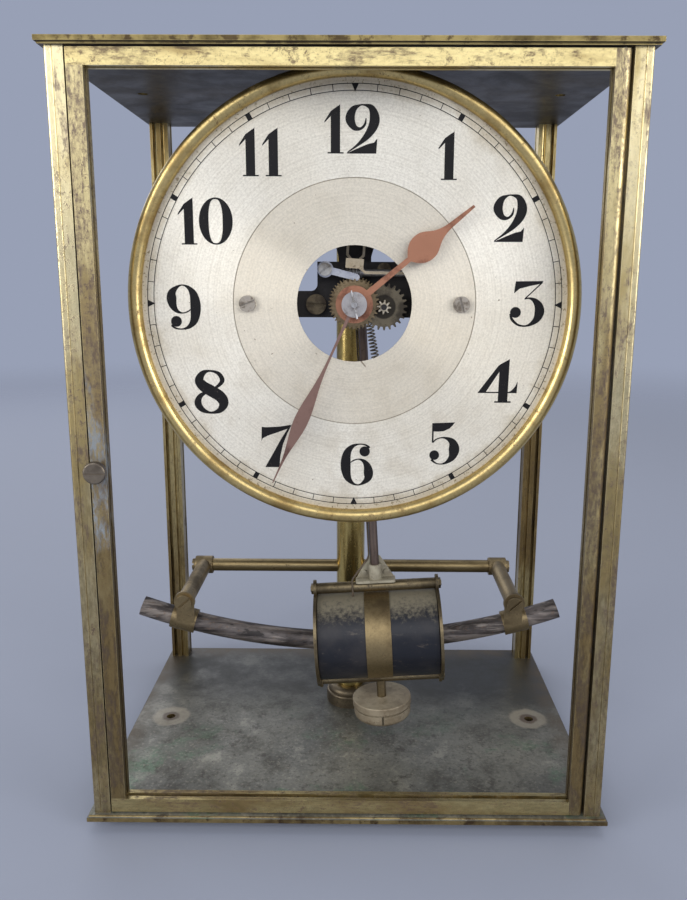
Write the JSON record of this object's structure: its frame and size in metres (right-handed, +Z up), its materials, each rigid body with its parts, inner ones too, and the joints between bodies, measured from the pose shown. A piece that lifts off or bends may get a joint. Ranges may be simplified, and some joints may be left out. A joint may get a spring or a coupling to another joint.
{
  "type": "mantel clock",
  "caption": "Electric pendulum clock in a brass four-glass case: coil bob swinging round a curved magnet, bezel dial with open centre, hinged front door.",
  "frame": {"origin": "on the surface that the clock stands on, under the middle of its outline", "axes": "+Z up, the dial and the door face -Y, +X to the right as seen from the front"},
  "size_m": [0.1964, 0.147, 0.2804],
  "materials": {
    "tarnished_brass": "tarnished and speckled",
    "bright_brass": "worn, half bright",
    "dark_base": "dark olive patina with green and pale stains",
    "silvered_dial": "silvered, matt",
    "copper_red": "oxidised copper brown, satin",
    "steel": "dull, half polished",
    "blackened": "blackened, satin",
    "magnet_iron": "dark grey-brown, mottled",
    "coil_wrap": "blue-black lacquered wrap over copper wire, dusty on top",
    "wire_sleeve": "dark cotton sleeve",
    "dusty_nut": "matt, dusty beige",
    "pale_saddle": "pale greenish-white bloom"
  },
  "bodies": {
    "case": {"base_plate": "dark_base", "top_plate": "tarnished_brass", "feet": "tarnished_brass", "front_left_post": "tarnished_brass", "front_right_post": "tarnished_brass", "back_left_post": "tarnished_brass", "back_right_post": "tarnished_brass", "post_screws": "steel", "door_hinge_pins": "steel", "column": "bright_brass", "column_foot": "bright_brass", "column_nut": "steel", "column_cap": "bright_brass", "cross_bar": "tarnished_brass", "left_magnet_arm": "tarnished_brass", "right_magnet_arm": "tarnished_brass", "left_magnet_strap": "tarnished_brass", "right_magnet_strap": "tarnished_brass", "magnet_arm_screws": "tarnished_brass", "magnet": "magnet_iron", "head_bracket": "blackened", "suspension_block": "tarnished_brass", "movement_plate": "blackened", "movement_screws": "bright_brass", "dial_plate": "silvered_dial", "bezel": "bright_brass", "dial_spacers": "tarnished_brass", "dial_screws": "copper_red", "spring_collars": "tarnished_brass", "contact_spring": "bright_brass"},
    "door": {"door_top_rail": "tarnished_brass", "door_bottom_rail": "tarnished_brass", "door_left_stile": "tarnished_brass", "door_right_stile": "tarnished_brass", "latch_escutcheon": "bright_brass"},
    "latch": {"latch_knob": "bright_brass", "latch_tongue": "steel"},
    "pendulum": {"pendulum_rod": "bright_brass", "rod_clamp": "tarnished_brass", "suspension_leaf": "steel", "saddle_bracket": "pale_saddle", "coil_bobbin": "tarnished_brass", "coil_winding": "coil_wrap", "coil_band": "bright_brass", "coil_bars": "tarnished_brass", "rating_stem": "bright_brass", "lead_wire": "wire_sleeve"},
    "rating_nut": {"rating_nut": "dusty_nut"},
    "minute_hand": {"minute_hand": "copper_red", "centre_arbor": "steel", "drive_wheel": "bright_brass", "hand_collet": "steel", "taper_pin": "steel"},
    "hour_hand": {"hour_hand": "copper_red", "hour_wheel": "bright_brass"},
    "minute_wheel": {"minute_wheel": "bright_brass"},
    "worm": {"worm_shaft": "steel"},
    "contact_fork": {"contact_fork": "bright_brass"},
    "click": {"click_lever": "steel"}
  },
  "joints": [
    {"name": "door_swing", "type": "hinge", "parent": "case", "child": "door", "pos_m": [0.087, -0.0661, 0.1427], "axis": [0, 0, 1], "range_deg": [0, 95]},
    {"name": "latch_turn", "type": "hinge", "parent": "door", "child": "latch", "pos_m": [-0.0865, -0.0683, 0.141], "axis": [0, 1, 0], "range_deg": [0, 90]},
    {"name": "pendulum_swing", "type": "hinge", "parent": "case", "child": "pendulum", "pos_m": [0.002, -0.0185, 0.2344], "axis": [0, -1, 0], "range_deg": [-11.4, 4.6]},
    {"name": "rating_turn", "type": "hinge", "parent": "pendulum", "child": "rating_nut", "pos_m": [0.01437, -0.0185, 0.02617], "axis": [-0.0593, 0, 0.9982], "continuous": true},
    {"name": "minute_turn", "type": "hinge", "parent": "case", "child": "minute_hand", "pos_m": [0.002, -0.037, 0.1977], "axis": [0, 1, 0], "continuous": true},
    {"name": "hour_turn", "type": "hinge", "parent": "case", "child": "hour_hand", "pos_m": [0.002, -0.037, 0.1977], "axis": [0, 1, 0], "continuous": true},
    {"name": "minute_wheel_turn", "type": "hinge", "parent": "case", "child": "minute_wheel", "pos_m": [0.01254, -0.037, 0.19659], "axis": [0, 1, 0], "continuous": true},
    {"name": "worm_turn", "type": "hinge", "parent": "case", "child": "worm", "pos_m": [0.002, -0.04, 0.2086], "axis": [1, 0, 0], "continuous": true},
    {"name": "fork_swing", "type": "hinge", "parent": "case", "child": "contact_fork", "pos_m": [0.002, -0.037, 0.2118], "axis": [0, -1, 0], "range_deg": [-5.3, 13]},
    {"name": "click_lift", "type": "hinge", "parent": "case", "child": "click", "pos_m": [-0.0086, -0.037, 0.2098], "axis": [0, -1, 0], "range_deg": [0, 6]}
  ],
  "couplings": [
    {"joint": "hour_turn", "follows": "minute_turn", "ratio": 0.083333},
    {"joint": "minute_wheel_turn", "follows": "minute_turn", "ratio": -0.33333},
    {"joint": "worm_turn", "follows": "minute_turn", "ratio": -48},
    {"joint": "fork_swing", "follows": "pendulum_swing", "ratio": -1.1321}
  ]
}
